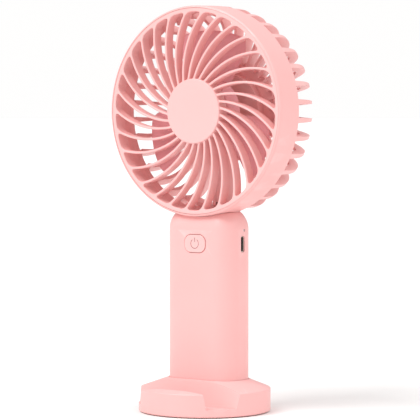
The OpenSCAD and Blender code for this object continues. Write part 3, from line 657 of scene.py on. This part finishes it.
BUTTON_LOW, BUTTON_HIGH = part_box("power_button")
BUTTON_Z = (BUTTON_LOW.z + BUTTON_HIGH.z) / 2
BUTTON_W = 12.2 * MM
BUTTON_H = 8.4 * MM
BUTTON_CORNER_R = 3.7 * MM
FLANGE_Y = HANDLE_LOW.y + HANDLE_WALL + 0.1 * MM
ICON_R = 2.25 * MM
ICON_LINE = 0.4 * MM
ICON_DEPTH = 0.3 * MM
ICON_GAP = 34
AT_BUTTON = Matrix.Translation((0, 0, BUTTON_Z)) @ Matrix.Rotation(math.pi / 2, 4, "X")


def icon_pieces(low, high):
    """The power mark's open ring and bar as upright blocks."""
    turns = [math.radians(ICON_GAP + (360 - 2 * ICON_GAP) * k / 64) for k in range(65)]
    half = ICON_LINE / 2
    outer_r, inner_r = ICON_R + half, ICON_R - half
    ring = [(outer_r * math.sin(t), outer_r * math.cos(t)) for t in turns]
    ring += [(inner_r * math.sin(t), inner_r * math.cos(t)) for t in reversed(turns)]
    start, end = ICON_R * 0.35, ICON_R * 1.3
    bar = [(-half, start), (half, start), (half, end), (-half, end)]
    return joined([loft("mark", [(outline, low), (outline, high)]) for outline in (ring, bar)])


def power_button():
    face, edge = -BUTTON_LOW.y, 0.35 * MM
    sections = [(rounded_rect(BUTTON_W, BUTTON_H, BUTTON_CORNER_R), -FLANGE_Y - 0.2 * MM)]
    for k in range(6):
        lean = math.radians(90 * k / 5)
        inset = edge * (1 - math.cos(lean))
        outline = rounded_rect(BUTTON_W - 2 * inset, BUTTON_H - 2 * inset, BUTTON_CORNER_R - inset)
        sections.append((outline, face - edge + edge * math.sin(lean)))
    button = loft("power_button_moulded", sections)
    flange = rounded_rect(BUTTON_W + 1.6 * MM, BUTTON_H + 1.6 * MM, BUTTON_CORNER_R + 0.8 * MM)
    combined(button, loft("flange", [(flange, -FLANGE_Y - 0.9 * MM), (flange, -FLANGE_Y)]), "UNION")
    stem_r, stem_edge, stem_end = 2 * MM, 0.2 * MM, -BUTTON_HIGH.y
    stem = [(0, stem_end), (stem_r - stem_edge, stem_end), (stem_r, stem_edge + stem_end)]
    stem += [(stem_r, -FLANGE_Y), (0, -FLANGE_Y)]
    combined(button, lathe("stem", stem, 48), "UNION")
    combined(button, icon_pieces(face - ICON_DEPTH, face + MM), "DIFFERENCE")
    finished(moved(button, AT_BUTTON), "power_button")
    finished(moved(icon_pieces(face - ICON_DEPTH, face), AT_BUTTON), "power_icon")


# ---- Base ----

BASE_LOW, BASE_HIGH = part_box("base_shell")
BASE_R = BASE_HIGH.x
BASE_WALL_H = 11.5 * MM
BASE_EDGE_R = 0.8 * MM
PLATE_R = BASE_R - 2.6 * MM
PLATE_TOP_Z = 2.4 * MM
SOCKET_GAP = 0.3 * MM
SOCKET_WALL = 2 * MM
SOCKET_FLOOR_Z = 5.2 * MM
SEAT_RIM = 0.6 * MM
GROOVE_BACK_Y = -13.5 * MM
GROOVE_FLOOR_Z = 4 * MM
GROOVE_FLOOR_W = 11.5 * MM
GROOVE_WALL = 1.8 * MM
GROOVE_LEAN = 0.25
GROOVE_FRONT_LEAN = 0.12
BASE_SCREWS = ((-24.6 * MM, 2 * MM), (24.6 * MM, 2 * MM), (0, 22.8 * MM))
BASE_SCREW_BORE_R = 0.95 * MM
BASE_BOSS_R = 2.5 * MM
ROUND_STEPS = 32


def round_section(radius, height):
    return rounded_rect(2 * radius, 2 * radius, radius, ROUND_STEPS), height


def seat_section(grow, height):
    """The handle's outline, larger by grow all round."""
    width, depth = HANDLE_W + 2 * grow, HANDLE_D + 2 * grow
    outline = rounded_rect(width, depth, HANDLE_CORNER_R + grow, ROUND_STEPS)
    return [(x, y + HANDLE_Y) for x, y in outline], height


def welded(piece):
    """The piece with points that lie in one place made into one, as at a round section's quarters."""
    return edited(piece, lambda bm: bmesh.ops.remove_doubles(bm, verts=bm.verts, dist=1e-7))


def upright(x, y, radius, low, high):
    """Upright cylinder at (x, y)."""
    post = lathe("post", [(0, low), (radius, low), (radius, high), (0, high)], 48)
    return moved(post, Matrix.Translation((x, y, 0)))


def edge_section(lean, middle_z):
    """The base's round outline on its eased edge, at a lean in degrees."""
    lean = math.radians(lean)
    radius = BASE_R - BASE_EDGE_R + BASE_EDGE_R * math.cos(lean)
    return round_section(radius, middle_z + BASE_EDGE_R * math.sin(lean))


def groove_cutter(grow):
    """The phone groove's hollow along X, larger by grow all round."""
    top = BASE_HIGH.z + 4 * MM
    rise = top - GROOVE_FLOOR_Z
    back, front = GROOVE_BACK_Y + grow, GROOVE_BACK_Y - GROOVE_FLOOR_W - grow
    outline = [(back, GROOVE_FLOOR_Z - grow), (back + GROOVE_LEAN * rise, top)]
    outline += [(front - GROOVE_FRONT_LEAN * rise, top), (front, GROOVE_FLOOR_Z - grow)]
    along_x = Matrix(((0, 0, 1, 0), (1, 0, 0, 0), (0, 1, 0, 0), (0, 0, 0, 1)))
    return moved(loft("groove", [(outline, -BASE_R - MM), (outline, BASE_R + MM)]), along_x)


def base_shell():
    rim = SEAT_RIM + SOCKET_GAP
    sections = [edge_section(18 * k - 90, BASE_LOW.z + BASE_EDGE_R) for k in range(6)]
    sections += [edge_section(12 * k, BASE_WALL_H - BASE_EDGE_R) for k in range(7)]
    sections += [seat_section(rim, BASE_HIGH.z - 0.15 * MM), seat_section(rim - 0.12 * MM, BASE_HIGH.z)]
    shell = welded(loft("base_shell_moulded", sections))

    hollow = [round_section(PLATE_R, z) for z in (PLATE_TOP_Z - 0.02 * MM, BASE_WALL_H - 2.3 * MM)]
    hollow = welded(loft("hollow", hollow + [seat_section(rim, BASE_HIGH.z - 2 * MM)]))
    wall = [seat_section(SOCKET_GAP + SOCKET_WALL, z) for z in (0, BASE_HIGH.z)]
    combined(hollow, loft("socket_wall", wall), "DIFFERENCE")
    combined(hollow, groove_cutter(GROOVE_WALL), "DIFFERENCE")
    for x, y in BASE_SCREWS:
        combined(hollow, upright(x, y, BASE_BOSS_R, 0, BASE_HIGH.z), "DIFFERENCE")
    combined(shell, hollow, "DIFFERENCE")
    combined(shell, upright(0, 0, PLATE_R + 0.02 * MM, -MM, PLATE_TOP_Z), "DIFFERENCE")
    combined(shell, groove_cutter(0), "DIFFERENCE")
    pocket = [seat_section(SOCKET_GAP, SOCKET_FLOOR_Z), seat_section(SOCKET_GAP, BASE_HIGH.z + MM)]
    combined(shell, loft("socket", pocket), "DIFFERENCE")
    for x, y in BASE_SCREWS:
        combined(shell, upright(x, y, BASE_SCREW_BORE_R, 0, 8 * MM), "DIFFERENCE")
    return finished(welded(shell), "base_shell", angle=30)


front_grille()
impeller()
handle_shell()
power_button()
base_shell()

# Widths of the CAD nodes' rounded edges, in mm
ROUNDED = {
    "base_plate": 0.25, "handle_bottom_cap": 0.25,
    "head_shell": 0.3, "rear_grille": 0.3, "usb_inlet": 0.08, "inner_frame": 0.2, "base_pads": 0.2,
    "base_screws": 0.1, "cap_screws": 0.1, "neck_screws": 0.1, "rotor_cup": 0.15, "switch_body": 0.2,
    "board_chips": 0.08, "battery_cell": 0.3, "stator_coils": 0.5, "bearing_tube": 0.15, "lead_cover": 0.12,
}
for node, width in ROUNDED.items():
    softened(node, width * MM)

for node, slot in SLOT_OF.items():
    if not NODES[node].hide_render:
        NODES[node].data.materials.clear()
        NODES[node].data.materials.append(MATERIALS[slot])

# ---- Floor, light and background ----


def add_floor():
    floor = lathe("floor", [(0, 0), (40, 0), (40, -0.02), (0, -0.02)], 96)
    nodes = Nodes("floor")
    clouds = nodes.spread(nodes.noise(30, 3), 0, 1)
    speckle = nodes.mix(clouds, (0.90, 0.89, 0.885), (0.93, 0.925, 0.92))
    nodes.join(speckle, nodes.shader.inputs["Base Color"])
    nodes.shader.inputs["Roughness"].default_value = 0.7
    floor.data.materials.append(nodes.material)


def add_light(name, azimuth, elevation, strength, spread):
    """Distant soft light, spread degrees wide; azimuth 0 shines from -Y and 90 from +X."""
    data = bpy.data.lights.new(name, "SUN")
    data.energy = strength
    data.angle = math.radians(spread)
    turn, rise = math.radians(azimuth), math.radians(elevation)
    level = math.cos(rise)
    source = Vector((math.sin(turn) * level, -math.cos(turn) * level, math.sin(rise)))
    light = bpy.data.objects.new(name, data)
    light.matrix_world = aimed(source, Vector((0, 0, 0)))
    bpy.context.scene.collection.objects.link(light)


def add_sky(light, seen):
    """Even light from all round, and the strength at which the background is seen."""
    world = bpy.data.worlds.new("studio")
    world.use_nodes = True
    tree = world.node_tree
    sky = tree.nodes["Background"]
    sky.inputs["Strength"].default_value = light
    backdrop = tree.nodes.new("ShaderNodeBackground")
    backdrop.inputs["Strength"].default_value = seen
    for node in (sky, backdrop):
        node.inputs["Color"].default_value = (1, 0.995, 0.99, 1)
    path = tree.nodes.new("ShaderNodeLightPath")
    choice = tree.nodes.new("ShaderNodeMixShader")
    tree.links.new(path.outputs["Is Camera Ray"], choice.inputs[0])
    tree.links.new(sky.outputs[0], choice.inputs[1])
    tree.links.new(backdrop.outputs[0], choice.inputs[2])
    tree.links.new(choice.outputs[0], tree.nodes["World Output"].inputs["Surface"])
    bpy.context.scene.world = world


add_floor()
add_light("key_light", -20, 50, 2.0, 40)
add_light("side_light", 112, 45, 0.9, 50)
add_sky(0.66, 1.0)
bpy.context.scene.view_settings.view_transform = "Standard"
bpy.context.scene.view_settings.look = "None"
